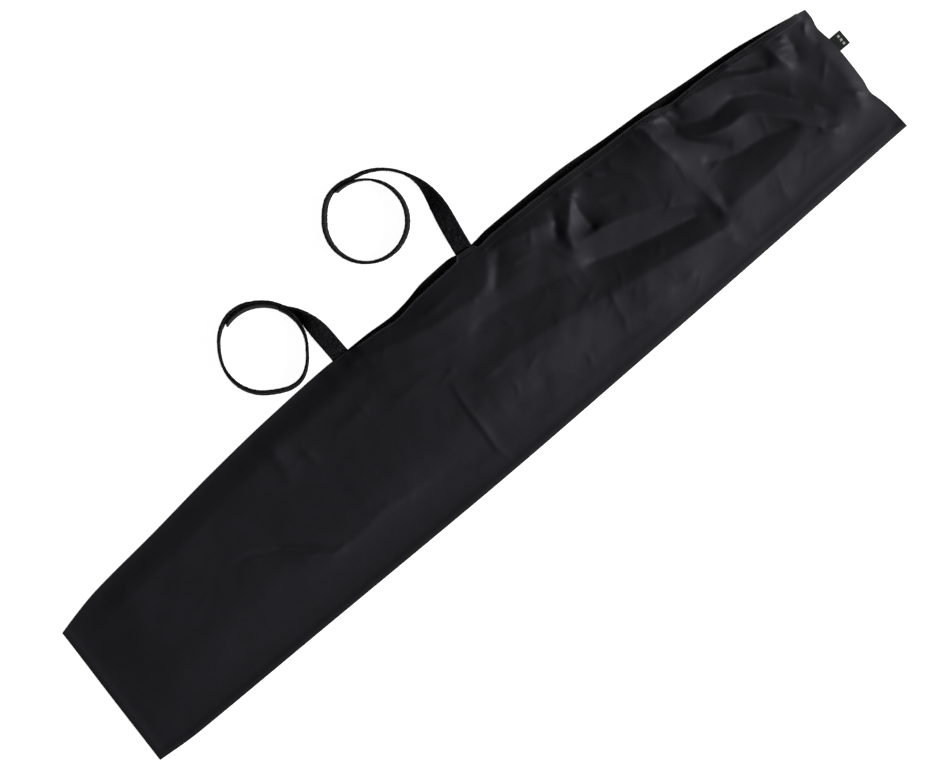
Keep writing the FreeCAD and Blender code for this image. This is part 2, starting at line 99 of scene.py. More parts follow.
# ---- crests and troughs of the crumpled upper layer: (x, y, height) ----
FOLDS = [
    # the bulge below the gap between the straps
    [(-90, 101, 8.5), (-75, 97, 11), (-60, 92, 13.2), (-40, 86, 15.4), (-20, 79, 16.4), (0, 74.5, 16.2),
     (20, 73, 15.6), (45, 70, 14.4), (62, 71.5, 12.8), (75, 84, 11.4), (86, 98, 9.8)],
    [(-90, 78, 9.6), (-70, 68, 12), (-40, 58, 14), (-20, 53, 15), (0, 50, 15), (24, 50, 14.2),
     (44, 54, 12.4)],
    [(70, 66, 9.4), (80, 76, 9), (94, 90, 9)],
    # the roll under the hem right of strap 2, and the notch where it ends
    [(94, 97, 11), (110, 92, 13.4), (130, 87, 13.6), (148, 82, 12.4), (157, 76, 11)],
    [(84, 62, 10.8), (100, 60, 11.4), (125, 60, 11.4), (146, 60, 11.4)],
    # the three-cornered pleat
    [(187, 87, 12), (174, 74, 13.8), (159, 62, 15), (154, 48, 14.6)],
    [(185, 86, 11), (183, 74, 9.2), (182.5, 60, 7.4), (183, 48, 7.6)],
    [(162, 86, 9.4), (155, 74, 9.6), (149, 64, 10)],
    # the long trough across the middle with a roll on each side
    [(154, 46, 14), (172, 44, 12.6), (186, 43, 13), (200, 39, 13), (220, 32, 12.6), (240, 24, 12),
     (258, 14, 11.4), (270, 8, 10.6), (279, 2, 9.4)],
    [(20, 46, 14), (44, 48, 11.6), (60, 47, 10.4), (80, 43, 9.8), (100, 38, 9.4), (124, 32, 9.4),
     (148, 26, 9), (163, 22, 5.6), (180, 16, 4.8), (200, 9, 4.4), (240, -2, 4.2), (270, -9, 4.4),
     (286, -22, 6.4)],
    [(0, 10, 13.6), (30, 6, 14.4), (60, 2, 14.4), (100, -4, 14), (140, -11, 13), (170, -17, 11.8),
     (200, -22, 11), (240, -29, 10.4), (270, -35, 9.4), (287, -38, 8)],
    [(-60, -64, 2.8), (20, -65, 3), (90, -66, 3.2), (150, -66, 3.2), (250, -69, 2.7), (300, -68, 2.7),
     (360, -67, 2.7), (430, -66, 2.7), (470, -66, 2.7)],
    [(10, -40, 6.4), (90, -42, 7), (160, -46, 7), (230, -52, 6.6)],
    [(196, 84, 9.4), (206, 66, 9.4), (222, 52, 10.2)],
    # the step that comes down from the hem, flat on its left
    [(236, 88, 11), (242, 60, 11.6), (254, 36, 11.8)],
    [(268, 90, 12.6), (272, 70, 14.0), (275, 52, 13.6), (279, 34, 12)],
    [(282.5, 93, 13.6), (284, 80, 16), (285.5, 66, 15.7), (288, 50, 14.2)],
    [(306, 92, 6.4), (309, 79, 4.6), (308, 68, 5.2)],
    [(317, 84, 5.6), (320, 75, 5.2)],
    # the arm that runs down from the step
    [(297, 76, 9.0), (304, 62, 8.4), (312, 50, 7.8), (322, 40, 7.0), (332, 30, 6.2), (340, 20, 5.4)],
    # the faint crease that carries straight on down
    [(289, 44, 12.6), (290, 25, 10.8), (291, 0, 10.2), (293, -22, 9.8)],
    [(308, 34, 8.6), (304, 6, 8.2), (300, -18, 8.4)],
    # the folds between it and the right end
    [(302, -25, 9.2), (320, -25, 9.4), (345, -25, 9.4), (372, -22, 9), (400, -16, 8.4), (420, -22, 8),
     (436, -34, 7.4)],
    [(312, 26, 6.2), (326, 16, 4.8), (345, 11, 4.4), (372, 8, 4.8), (390, 2, 5.8), (402, -5, 7.6)],
    [(311, 60, 8.4), (320, 50, 11), (332, 43, 12.4), (345, 39, 12.6), (372, 37, 11), (382, 28, 10.6),
     (392, 18, 10.4), (402, 8, 10.4), (412, -8, 10), (422, -24, 9.6), (430, -32, 9)],
    [(320, 69, 6), (332, 62, 6.2), (345, 56.5, 6.4), (360, 58, 6), (372, 59, 5.6), (385, 52, 5.2),
     (400, 42, 4.8), (410, 28, 4.8), (420, 14, 5.2), (430, -2, 5.6), (440, -18, 6.4)],
    [(326, 86, 10.6), (345, 85, 12), (372, 80, 12.6), (386, 72, 12.4), (400, 63.5, 12), (420, 53, 12)],
    [(388, 79, 9.6), (400, 71, 9.0), (421, 61, 10.2)],
    [(388, 87, 11.4), (402, 82, 11.6), (421, 78, 11.8), (430, 77, 12)],
    [(430, 72, 13.4), (431, 64, 15), (432, 55, 14.8), (437, 46, 12)],
    [(453, 68, 6.4), (451, 55, 6.0), (447, 43, 7.2)],
    [(440, 30, 8.6), (446, 10, 8.6), (452, -8, 8.4)],
    [(458, 34, 7.8), (460, 12, 8.8), (462, -8, 8.8), (466, -30, 7.2)],
    [(474, 62, 5.8), (475, 44, 6), (477, 12, 7), (477, -8, 7.2), (477, -22, 5.6)],
]

# ---- sharp small creases: (x, y, height above the cloth), then the width on each side ----
# The first width is on the left of the line as it is walked.
CREASES = [
    ([(-24, 28, 0), (-29, 0, 0.9), (-31, -40, 1.05), (-33, -58, 0.8), (-28, -81, 0)], 5.0, 2.4),
    ([(156, -6, 0), (152, -20, 0.8), (147, -34, 0)], 4.5, 2.5),
    ([(-312, 24, 0), (-285, 18, -1.0), (-262, 4, -3.1), (-240, -14, -2.9), (-222, -30, 0)], 2.4, 3.0),
    ([(-268, -2, 0), (-247, -19, 1.7), (-226, -34, 1.5), (-190, -38, 0)], 3.0, 4.0),
    ([(-205, -38, 0), (-165, -33, 1.5), (-110, -38, 0.6), (-60, -40, 0)], 9.0, 6.0),
    ([(-185, 72, 0), (-181, 58, 1.3), (-178, 44, 0)], 5.0, 2.5),
    ([(-216, 102, 0), (-206, 84, 2.0), (-208, 60, 1.2), (-214, 42, 0)], 14.0, 6.0),
    ([(-152, 58, 0), (-120, 57, 1.0), (-90, 60, 0)], 6.0, 8.0),
    ([(-90, 40, 0), (-60, 42, 1.0), (-25, 42, 0)], 6.0, 9.0),
    ([(0, 5, 0), (14, 2, 1.0), (34, 0, 0)], 3.0, 2.0),
    ([(-30, 92, 0), (10, 88, 1.2), (50, 90, 0)], 5.0, 4.0),
    ([(172, 101, 0), (178, 95, 2.0), (188, 86, 0.4)], 2.4, 2.4),
    ([(156, 82, 0), (163, 76, 1.4), (168, 70, 0)], 2.6, 2.2),
    ([(210, 99, 0), (216, 89, 1.8), (226, 80, 0)], 3.0, 2.2),
    ([(287, 98, 0), (297, 91, 1.8), (310, 87, 1.8), (321, 80, 0)], 3.2, 2.8),
    ([(441, 77, 0), (446, 71, 1.6), (453, 65, 0)], 2.4, 2.2),
    ([(432, 66, 0), (444, 64, 1.0), (458, 57, 0)], 2.2, 2.0),
    ([(424, 8, 0), (428, -2, 1.2), (433, -14, 0)], 3.6, 2.0),
    ([(448, 9, 0), (460, 20, 0.7), (472, 31, 0)], 2.4, 2.4),
    ([(467, 57, 0), (474, 66, 1.6), (482, 73, 0)], 2.2, 2.4),
    ([(462, -8, 0), (470, -18, 1.8), (482, -26, 0)], 3.0, 3.0),
    ([(84, 84, 0), (100, 72, 1.0), (128, 66, 0)], 4.0, 3.0),
    ([(232, 84, 0), (246, 62, 0.7), (252, 44, 0)], 5.0, 4.0),
    ([(190, 80, 0), (206, 66, 0.9), (226, 58, 0)], 4.0, 5.0),
    ([(166, -26, 0), (184, -34, 1.2), (206, -52, 0)], 9.0, 10.0),
    ([(268, -40, 0), (282, -50, 1.2), (288, -66, 0)], 9.0, 8.0),
    ([(340, -30, 0), (352, -48, 0.8), (352, -64, 0)], 9.0, 8.0),
    ([(400, -34, 0), (416, -44, 0.8), (430, -60, 0)], 9.0, 8.0),
]

# ---- straps ----
STRAP_W, STRAP_T = 19.0, 2.9
SEWN_L = 14.0
TAB_T = 1.9
PILE_FIBRES, HOOK_PITCH = 5200, 1.6
HALF_TAPE = 1.0                 # from a loop mount's radius to the tape's centre line
OUTER_LAYER = 2.15              # how far the outer layer stands off where the strap overlaps itself
STRAPS = {
    "strap_1": {
        "lean": 0.0, "lead": [(-92.6, 130), (-93, 146), (-94.6, 160), (-97.6, 173)],
        "twist": (0.22, 0.95), "join_deg": 27, "outer_lift": 0.0, "outer_bumps": [(93, 27, 2.6)],
        "settle_deg": (112, 156), "sags": [(280, 42, 4.6)], "tab_deg": (29.6, 107), "holder": "sleeve",
        "top_lean": (2.4, 1.7),
    },
    "strap_2": {
        "lean": 9.0, "lead": [(72.2, 131), (75.2, 147), (78.2, 163), (79.9, 178), (79.2, 193), (75, 207),
                              (67.5, 219.5), (56.5, 230), (42.5, 237.5)],
        "twist": (0.10, 0.70), "join_deg": 72, "outer_lift": 1.2, "outer_bumps": [],
        "settle_deg": (98, 142), "sags": [], "tab_deg": (39.6, 96), "holder": "front_lip",
        "top_lean": (-2.6, 0.9),
    },
}

joints = {j["name"]: j for j in frame["joints"]}
mounts = {m["name"]: m for m in frame["record"]["mounts"]}


# ---- small numeric tools ----
def smooth(t):
    """Ease from 0 to 1 with level ends."""
    t = np.clip(t, 0.0, 1.0)
    return t * t * (3 - 2 * t)


def hermite(t, start, leaving, end, arriving):
    """A cubic from start to end at t from 0 to 1, with its slopes at both."""
    return ((1 + 2 * t) * (1 - t) ** 2 * start + t * (1 - t) ** 2 * leaving
            + t * t * (3 - 2 * t) * end + t * t * (t - 1) * arriving)


def run_length(path):
    """Distance along a path at each of its points."""
    return np.concatenate([[0], np.cumsum(np.linalg.norm(np.diff(path, axis=0), axis=1))])


def unit_rows(a):
    """Each row of an array as a unit vector."""
    return a / np.linalg.norm(a, axis=1)[:, None]


def curve(points):
    """A smooth function through (x, y) points that never overshoots them."""
    xs, ys = np.array(points, float).T
    rise = np.diff(ys) / np.diff(xs)
    slopes = np.zeros(len(xs))
    before, after = rise[:-1], rise[1:]
    level = before * after <= 0
    slopes[1:-1] = np.where(level, 0, 2 * before * after / np.where(level, 1, before + after))
    slopes[0], slopes[-1] = rise[0], rise[-1]

    def value(x):
        x = np.asarray(x, float)
        i = np.clip(np.searchsorted(xs, x) - 1, 0, len(xs) - 2)
        h = xs[i + 1] - xs[i]
        t = np.clip((x - xs[i]) / h, 0, 1)
        return hermite(t, ys[i], h * slopes[i], ys[i + 1], h * slopes[i + 1])

    return value


low_y = curve(LONG_SEAM)
high_y = curve(MOUTH_SIDE)
lip_y = curve(LIP_EDGE)
left_x = curve(LEFT_END)
right_x = curve(RIGHT_END)
plateau = curve(PLATEAU)
edge_lift = curve(EDGE_LIFT)


def fold_y(x):
    """The line that the lip folds about, from its joint."""
    hinge = joints["lip_lift"]
    return (hinge["pos_m"][1] + (x * MM - hinge["pos_m"][0]) * hinge["axis"][1] / hinge["axis"][0]) / MM


def upper_edge_y(x):
    """The upper layer's edge: the lip along the mouth, the seam elsewhere."""
    seam = high_y(x) - 0.5
    inside = smooth((x + 88) / 10) * (1 - smooth((x - 474) / 8))
    return seam + (np.minimum(lip_y(x), seam) - seam) * inside


def distance_to(points, x, y):
    """Distance to a polyline of (x, y, h) points, the side of it, and h at the nearest place."""
    best = np.full(np.shape(x), 1e9)
    side = np.zeros(np.shape(x))
    height = np.zeros(np.shape(x))
    for (x0, y0, h0), (x1, y1, h1) in zip(points[:-1], points[1:]):
        dx, dy = x1 - x0, y1 - y0
        t = np.clip(((x - x0) * dx + (y - y0) * dy) / (dx * dx + dy * dy), 0, 1)
        away = np.hypot(x - x0 - t * dx, y - y0 - t * dy)
        nearer = away < best
        best = np.where(nearer, away, best)
        side = np.where(nearer, np.sign(dx * (y - y0) - dy * (x - x0)), side)
        height = np.where(nearer, h0 + (h1 - h0) * t, height)
    return best, side, height


def blurred(a):
    """A grid blurred by one pass of a 1-2-1 filter each way."""
    a = np.pad(a, 1, mode="edge")
    a = (a[:-2, 1:-1] + 2 * a[1:-1, 1:-1] + a[2:, 1:-1]) / 4
    a = np.pad(a, ((0, 0), (1, 1)), mode="edge")
    return (a[:, :-2] + 2 * a[:, 1:-1] + a[:, 2:]) / 4


def bicubic(grid, x0, y0, step):
    """A smooth function that reads a grid of values."""
    rows, cols = grid.shape

    def weights(t):
        return (0.5 * (-t + 2 * t * t - t ** 3), 0.5 * (2 - 5 * t * t + 3 * t ** 3),
                0.5 * (t + 4 * t * t - 3 * t ** 3), 0.5 * (t ** 3 - t * t))

    def value(x, y):
        u = np.clip((np.asarray(x, float) - x0) / step, 1, cols - 3.001)
        v = np.clip((np.asarray(y, float) - y0) / step, 1, rows - 3.001)
        i, j = u.astype(int), v.astype(int)
        across, up = weights(u - i), weights(v - j)
        total = 0
        for b in range(4):
            total = total + up[b] * sum(across[a] * grid[j - 1 + b, i - 1 + a] for a in range(4))
        return total

    return value


# ---- the upper layer as a height field ----
GRID = 2.0
GRID_X = np.arange(-500, 501, GRID)
GRID_Y = np.arange(-96, 127, GRID)


def base_height(x, y):
    """The upper layer before it is crumpled: level in the middle, down to the seams round it."""
    low, high = low_y(x), upper_edge_y(x)
    lift = edge_lift(x)
    edge = EDGE_TOP + (STRAP_TUNNEL_TOP - EDGE_TOP) * np.minimum(lift, 1)
    edge = edge + (LIP_TOP - STRAP_TUNNEL_TOP) * np.maximum(lift - 1, 0)
    from_low, from_high = y - low, high - y
    from_left, from_right = x - left_x(y), right_x(y) - x
    level = edge + (plateau(x) - edge) * smooth((from_high - MOUTH_MARGIN) / MOUTH_RISE)
    up = smooth((from_low - SEAM_MARGIN) / SEAM_RISE) * smooth((from_left - LEFT_MARGIN) / LEFT_RISE)
    up = up * np.sqrt(smooth((from_right - RIGHT_MARGIN) / RIGHT_RISE))
    seam = EDGE_TOP + SEAM_PUFF * np.exp(-((np.minimum(from_low, from_left) - PUFF_INSET) / PUFF_WIDTH) ** 2)
    return seam + (level - seam) * up


def settle(fixed, value):
    """Spreads the fixed values over the grid like a stretched sheet that also leans back to nought."""
    rows, cols = value.shape
    u = value.copy()
    checker = np.add.outer(np.arange(rows), np.arange(cols)) % 2
    free = [(~fixed & (checker == k))[1:-1, 1:-1] for k in (0, 1)]
    pull = 4 + (GRID / SHEET_REACH) ** 2
    over = 1.88
    for _ in range(SHEET_PASSES):
        for mask in free:
            mean = (u[:-2, 1:-1] + u[2:, 1:-1] + u[1:-1, :-2] + u[1:-1, 2:]) / pull
            inner = u[1:-1, 1:-1]
            inner[mask] += over * (mean - inner)[mask]
    return u


def make_height():
    """Heights of the top of the upper layer over the whole sleeve."""
    x, y = np.meshgrid(GRID_X, GRID_Y)
    base = base_height(x, y)
    outside = (y < low_y(x) + 3) | (y > upper_edge_y(x) - 1) | (x < left_x(y) + 3) | (x > right_x(y) - 2)
    fixed = outside.copy()
    value = np.zeros(x.shape)
    for line in FOLDS:
        for (xa, ya, za), (xb, yb, zb) in zip(line[:-1], line[1:]):
            for t in np.linspace(0, 1, int(math.hypot(xb - xa, yb - ya)) + 2):
                px, py, pz = xa + (xb - xa) * t, ya + (yb - ya) * t, za + (zb - za) * t
                i, j = int(round((px - GRID_X[0]) / GRID)), int(round((py - GRID_Y[0]) / GRID))
                if not outside[j, i]:
                    fixed[j, i] = True
                    value[j, i] = pz - base[j, i]
    taller = 1 + TALLER_RIGHT * smooth((x - 120) / 60)
    height = blurred(base + taller * settle(fixed, value))
    return height + small_crumples(x, y) * smooth((height - 2) / 3)


def fine_relief(x, y):
    """What is too sharp for the grid: the small creases, and the step where the hem's layers begin."""
    x, y = np.broadcast_arrays(np.asarray(x, float), np.asarray(y, float))
    total = np.zeros(x.shape)
    for points, left_w, right_w in CREASES:
        away, side, tall = distance_to(points, x, y)
        total = total + tall * np.exp(-(away / np.where(side > 0, left_w, right_w)) ** 1.5)
    inset = lip_y(x) - y
    beside_mouth = smooth((x - HEM_X0) / 10) * smooth((MOUTH_X1 - x) / 8)
    pucker = 0.10 * np.sin(x * 1.05 + 2 * np.sin(x / 9.0)) * np.exp(-((inset - HEM_ROW_INNER) / 2.0) ** 2)
    return total + beside_mouth * (HEM_STEP * smooth((HEM_DEPTH - inset) / 1.8) + pucker)


def small_crumples(x, y):
    """Faint dimples and short fine creases, the same on every run."""
    rng = np.random.default_rng(7)
    total = np.zeros(x.shape)
    more_right = 0.45 + 0.55 * smooth((x + 250) / 350)
    for wave, tall in ((70, 0.55), (30, 0.30), (13, 0.12)):
        cols, rows = int(1000 / wave) + 6, int(230 / wave) + 6
        knots = rng.normal(0, 1, (rows, cols))
        total += tall * bicubic(knots, GRID_X[0] - 2 * wave, GRID_Y[0] - 2 * wave, wave)(x, y)
    for _ in range(120):
        cx, cy = rng.uniform(-470, 470), rng.uniform(-75, 95)
        turn, half = rng.uniform(0, math.pi), rng.uniform(6, 20)
        dx, dy = half * math.cos(turn), half * math.sin(turn)
        bend = rng.uniform(-3, 3)
        tall = rng.uniform(0.15, 0.5)
        near = (abs(x - cx) < half + 8) & (abs(y - cy) < half + 8)
        top = (cx - dy * bend / half, cy + dx * bend / half, tall)
        points = [(cx - dx, cy - dy, 0), top, (cx + dx, cy + dy, 0)]
        away, side, h = distance_to(points, x[near], y[near])
        total[near] += h * np.exp(-(away / np.where(side > 0, 1.8, 3.5)) ** 2)
    return total * more_right


broad_z = bicubic(make_height(), GRID_X[0], GRID_Y[0], GRID)


def top_z(x, y):
    """Top of the upper layer anywhere on the sleeve."""
    return broad_z(x, y) + fine_relief(x, y)


def back_z(x, y):
    """Top of the lower layer: flat on the floor, lifting a little along the mouth."""
    ripple = 0.35 + 0.35 * np.sin(x / 31.0) * np.sin(x / 12.7 + 1)
    near_mouth = smooth((y - high_y(x) + 22) / 20) * smooth((x + 80) / 30) * (1 - smooth((x - 440) / 35))
    return CLOTH + ripple * near_mouth


# ---- meshes ----
def make_object(name, points, faces, material, crisp=None):
    """A smooth-shaded mesh from millimetre points."""
    mesh = bpy.data.meshes.new(name)
    mesh.from_pydata((np.asarray(points, float) * MM).tolist(), [], [list(map(int, f)) for f in faces])
    mesh.shade_smooth()
    if crisp is not None:
        mesh.set_sharp_from_angle(angle=math.radians(crisp))
    mesh.materials.append(material)
    made = bpy.data.objects.new(name, mesh)
    bpy.context.scene.collection.objects.link(made)
    return made


def grid_quads(rows, cols):
    """The four point numbers of each cell of a grid."""
    index = np.arange(rows * cols).reshape(rows, cols)
    return np.stack([index[:-1, :-1], index[:-1, 1:], index[1:, 1:], index[1:, :-1]], axis=-1)


def slab(name, grid, thickness, material, cells=None):
    """A sheet with thickness from a grid of top points, or from its marked cells only."""
    rows, cols = grid.shape[:2]
    quads = grid_quads(rows, cols)
    quads = quads.reshape(-1, 4) if cells is None else quads[cells]
    used = np.unique(quads)
    number = np.full(rows * cols, -1)
    number[used] = np.arange(len(used))
    quads = number[quads]
    top = grid.reshape(-1, 3)[used]
    under = top - np.array([0, 0, thickness])
    n = len(used)
    edges = np.concatenate([quads[:, [k, (k + 1) % 4]] for k in range(4)])
    ordered = np.sort(edges, axis=1)
    _, first, counts = np.unique(ordered, axis=0, return_index=True, return_counts=True)
    rim = edges[first[counts == 1]]
    walls = np.stack([rim[:, 1], rim[:, 0], rim[:, 0] + n, rim[:, 1] + n], axis=1)
    faces = np.concatenate([quads, quads[:, ::-1] + n, walls])
    return make_object(name, np.concatenate([top, under]), faces, material, crisp=65)


def tube_mesh(rings):
    """Points and faces of a closed tube through equal rings of points."""
    count, around = len(rings), len(rings[0])
    points = np.concatenate(rings)
    i, k = np.meshgrid(np.arange(count - 1), np.arange(around), indexing="ij")
    after = (k + 1) % around
    near, far = i * around, (i + 1) * around
    faces = np.stack([near + k, near + after, far + after, far + k], axis=-1).reshape(-1, 4).tolist()
    faces.append(list(range(around))[::-1])
    faces.append(list(range((count - 1) * around, count * around)))
    return points, faces


def fibre(path, a, b, radii):
    """A thin three-sided thread through a path, where a and b lie across it."""
    return tube_mesh([np.array([p + (a * math.cos(q) + b * math.sin(q)) * r for q in (0, 2.1, 4.2)])
                      for p, r in zip(path, radii)])


def joined(name, parts, material, crisp=None):
    """One object from several lots of points and faces."""
    points, faces, offset = [], [], 0
    for p, f in parts:
        points.append(np.asarray(p))
        faces += [[v + offset for v in face] for face in f]
        offset += len(p)
    return make_object(name, np.concatenate(points), faces, material, crisp)


def stitch(a, b, radius, sink):
    """One stitch from a to b, dipping into the cloth at both ends."""
    a, b = np.array(a, float), np.array(b, float)
    along = (b - a) / np.linalg.norm(b - a)
    side = np.cross(along, [0, 0, 1])
    side /= max(np.linalg.norm(side), 1e-9)
    rise = np.cross(side, along)
    turns = [k * math.pi / 3 for k in range(6)]
    rings = []
    for t, swell, drop in ((0, 0.35, 1), (0.14, 0.85, 0.35), (0.5, 1, 0), (0.86, 0.85, 0.35), (1, 0.35, 1)):
        centre = a + (b - a) * t - rise * sink * drop
        r = radius * swell
        rings.append(np.array([centre + r * (math.cos(q) * side + math.sin(q) * rise) for q in turns]))
    return tube_mesh(rings)


def stitch_row(name, path, radius=0.3, sink=0.3, pitch=3.3, length=2.5):
    """A row of stitches along a path given as an array of points."""
    path = np.asarray(path, float)
    run = run_length(path)
    parts = []
    for s in np.arange(0, run[-1] - length, pitch):
        a = [np.interp(s, run, path[:, k]) for k in range(3)]
        b = [np.interp(s + length, run, path[:, k]) for k in range(3)]
        parts.append(stitch(a, b, radius, sink))
    return joined(name, parts, THREAD)


# ---- materials ----
class Finish:
    """A node material under construction."""

    def __init__(self, name, **sockets):
        self.material = bpy.data.materials.new(name)
        self.material.use_nodes = True
        self.tree = self.material.node_tree
        self.shader = self.tree.nodes["Principled BSDF"]
        self.place = self.node("ShaderNodeTexCoord").outputs["Object"]
        self.bump_chain = None
        for socket, value in sockets.items():
            self.shader.inputs[socket.replace("_", " ")].default_value = value

    def node(self, kind, **settings):
        made = self.tree.nodes.new(kind)
        for key, value in settings.items():
            setattr(made, key, value)
        return made

    def link(self, a, b):
        self.tree.links.new(a, b)

    def noise(self, scale, detail=3.0, rough=0.55, stretch=None):
        """Noise at a scale given in cycles per metre."""
        made = self.node("ShaderNodeTexNoise")
        made.inputs["Scale"].default_value = scale
        made.inputs["Detail"].default_value = detail
        made.inputs["Roughness"].default_value = rough
        place = self.place
        if stretch:
            mapping = self.node("ShaderNodeMapping")
            mapping.inputs["Scale"].default_value = stretch
            self.link(self.place, mapping.inputs["Vector"])
            place = mapping.outputs["Vector"]
        self.link(place, made.inputs["Vector"])
        return made.outputs["Fac"]

    def weave(self, period, turn=0.0):
        """Crossed threads at a period given in metres."""
        mapping = self.node("ShaderNodeMapping")
        mapping.inputs["Rotation"].default_value = (0, 0, turn)
        self.link(self.place, mapping.inputs["Vector"])
        waves = []
        for direction in ("X", "Y"):
            wave = self.node("ShaderNodeTexWave", bands_direction=direction)
            wave.inputs["Scale"].default_value = 0.31416 / period
            wave.inputs["Distortion"].default_value = 0.6
            wave.inputs["Detail"].default_value = 1.0
            self.link(mapping.outputs["Vector"], wave.inputs["Vector"])
            waves.append(wave.outputs["Fac"])
        most = self.node("ShaderNodeMath", operation="MAXIMUM")
        self.link(waves[0], most.inputs[0])
        self.link(waves[1], most.inputs[1])
        return most.outputs["Value"]

    def ramp(self, factor, stops):
        made = self.node("ShaderNodeValToRGB")
        while len(made.color_ramp.elements) < len(stops):
            made.color_ramp.elements.new(0.5)
        for element, (at, colour) in zip(made.color_ramp.elements, stops):
            element.position = at
            element.color = (*colour, 1)
        self.link(factor, made.inputs["Fac"])
        return made.outputs["Color"]

    def colour(self, factor, stops):
        self.link(self.ramp(factor, stops), self.shader.inputs["Base Color"])

    def roughness(self, factor, low, high):
        spread = self.node("ShaderNodeMapRange")
        spread.inputs["To Min"].default_value = low
        spread.inputs["To Max"].default_value = high
        self.link(factor, spread.inputs["Value"])
        self.link(spread.outputs["Result"], self.shader.inputs["Roughness"])

    def bump(self, factor, height, strength=1.0):
        """Adds relief, with its height in metres."""
        made = self.node("ShaderNodeBump")
        made.inputs["Distance"].default_value = height
        made.inputs["Strength"].default_value = strength
        self.link(factor, made.inputs["Height"])
        if self.bump_chain:
            self.link(self.bump_chain, made.inputs["Normal"])
        self.bump_chain = made.outputs["Normal"]
        self.link(self.bump_chain, self.shader.inputs["Normal"])


def nylon(name, light=1.0):
    """Coated black nylon with a faint violet sheen."""
    f = Finish(name, Specular_IOR_Level=0.5, Specular_Tint=(0.93, 0.9, 1.0, 1), Sheen_Weight=0.03,
               Sheen_Roughness=0.5, Sheen_Tint=(0.8, 0.75, 1.0, 1))
    mottle = f.noise(38, 5.0, 0.6)
    # light scales the base colour; below 1 it makes a darker copy of the nylon, which is painted shade
    f.colour(mottle, [(0.25, (0.0062 * light, 0.0058 * light, 0.008 * light)),
                      (0.75, (0.0105 * light, 0.0098 * light, 0.013 * light))])
    f.roughness(f.noise(220, 4.0, 0.65), 0.54, 0.68)
    f.bump(f.weave(0.00055, 0.0), 0.00004, 0.6)
    f.bump(f.noise(900, 3.0, 0.6), 0.00006, 0.5)
    f.bump(f.noise(130, 4.0, 0.6), 0.00022, 0.5)
    return f.material


def facing_tape(name):
    """Matte brushed tape inside the mouth."""
    f = Finish(name, Specular_IOR_Level=0.06)
    f.colour(f.noise(560, 6.0, 0.8), [(0.34, (0.005, 0.0056, 0.0052)), (0.5, (0.02, 0.021, 0.0208)),
                                      (0.68, (0.08, 0.082, 0.084))])
    f.roughness(f.noise(260), 0.75, 0.95)
    f.bump(f.weave(0.0009, 0.785), 0.00008, 0.7)
    f.bump(f.noise(1500, 3.0, 0.7), 0.00018, 0.8)
    return f.material


def pile_tape(name):
    """Loop side of hook-and-loop tape: a dense brushed pile."""
    f = Finish(name, Specular_IOR_Level=0.03)
    f.colour(f.noise(560, 6.0, 0.8), [(0.34, (0.003, 0.003, 0.0035)), (0.5, (0.013, 0.013, 0.0148)),
                                      (0.68, (0.062, 0.061, 0.067))])
    f.roughness(f.noise(500), 0.85, 1.0)
    f.bump(f.noise(1400, 4.0, 0.7), 0.0005, 0.9)
    f.bump(f.noise(420, 3.0, 0.6), 0.0004, 0.6)
    return f.material


def hook_tape(name):
    """Hook side: rows of stiff little hooks."""
    f = Finish(name, Specular_IOR_Level=0.06)
    f.colour(f.noise(1200, 3.0, 0.7), [(0.3, (0.004, 0.004, 0.0045)), (0.7, (0.024, 0.024, 0.0265))])
    f.roughness(f.noise(800), 0.75, 0.95)
    f.bump(f.noise(1300, 2.0, 0.5), 0.00045, 1.0)
    return f.material


def thread_finish(name):
    """Twisted polyester thread."""
    f = Finish(name, Specular_IOR_Level=0.3)
    f.colour(f.noise(1800, 2.0), [(0.3, (0.006, 0.006, 0.0072)), (0.7, (0.015, 0.0148, 0.017))])
    f.roughness(f.noise(900), 0.5, 0.7)
    f.bump(f.noise(3500, 1.0, 0.5, (1, 1, 0.4)), 0.00008, 0.8)
    return f.material


def label_finish(name, dark, pale):
    """Damask-woven label."""
    f = Finish(name, Specular_IOR_Level=0.3, Sheen_Weight=0.1)
    f.colour(f.weave(0.0007, 0.785), [(0.2, dark), (0.9, pale)])
    f.roughness(f.noise(900), 0.6, 0.85)
    f.bump(f.weave(0.0005, 0.0), 0.00007, 0.9)
    return f.material


def floor_finish():
    """Pale seamless paper that glows a little, so that it stays white round the dark cloth."""
    f = Finish("studio_paper", Emission_Color=(1, 1, 1, 1), Emission_Strength=0.95, Specular_IOR_Level=0.0)
    f.colour(f.noise(6, 2.0), [(0.3, (0.9, 0.9, 0.9)), (0.7, (0.94, 0.94, 0.94))])
    f.roughness(f.noise(20), 0.9, 1.0)
    return f.material


NYLON = nylon("black_nylon")
# The lower layer is the same nylon made darker: painted shade for the layer that lies under the upper one.
NYLON_LOWER_PAINTED_SHADE = nylon("black_nylon_lower_painted_shade", 0.9)
FACING = facing_tape("matte_facing_tape")
PILE = pile_tape("loop_pile_tape")
HOOKS = hook_tape("hook_tape")
THREAD = thread_finish("black_thread")
LABEL_CLOTH = label_finish("label_weave", (0.006, 0.0075, 0.006), (0.022, 0.027, 0.023))
LABEL_MARK = label_finish("label_mark_weave", (0.5, 0.52, 0.5), (0.75, 0.77, 0.75))


# ---- the sleeve's cloth ----
def stations(marks, step):
    """Positions through the marks at about equal steps."""
    out = [marks[0]]
    for a, b in zip(marks[:-1], marks[1:]):
        count = max(int(round(abs(b - a) / step)), 1)
        out += list(np.linspace(a, b, count + 1)[1:])
    return np.array(out)


def bent_x(x, y):
    """Moves columns near the ends so that the first and last follow the end outlines."""
    toward_right = (x - LEFT_X) / (RIGHT_X - LEFT_X)
    near_left = (1 - smooth((x - LEFT_X) / 60)) * (left_x(y) - LEFT_X)
    near_right = smooth((x - RIGHT_X + 40) / 40) * (right_x(y) - RIGHT_X)
    return x + near_left * (1 - toward_right) + near_right


BODY_ROWS, LIP_ROWS = 92, 14


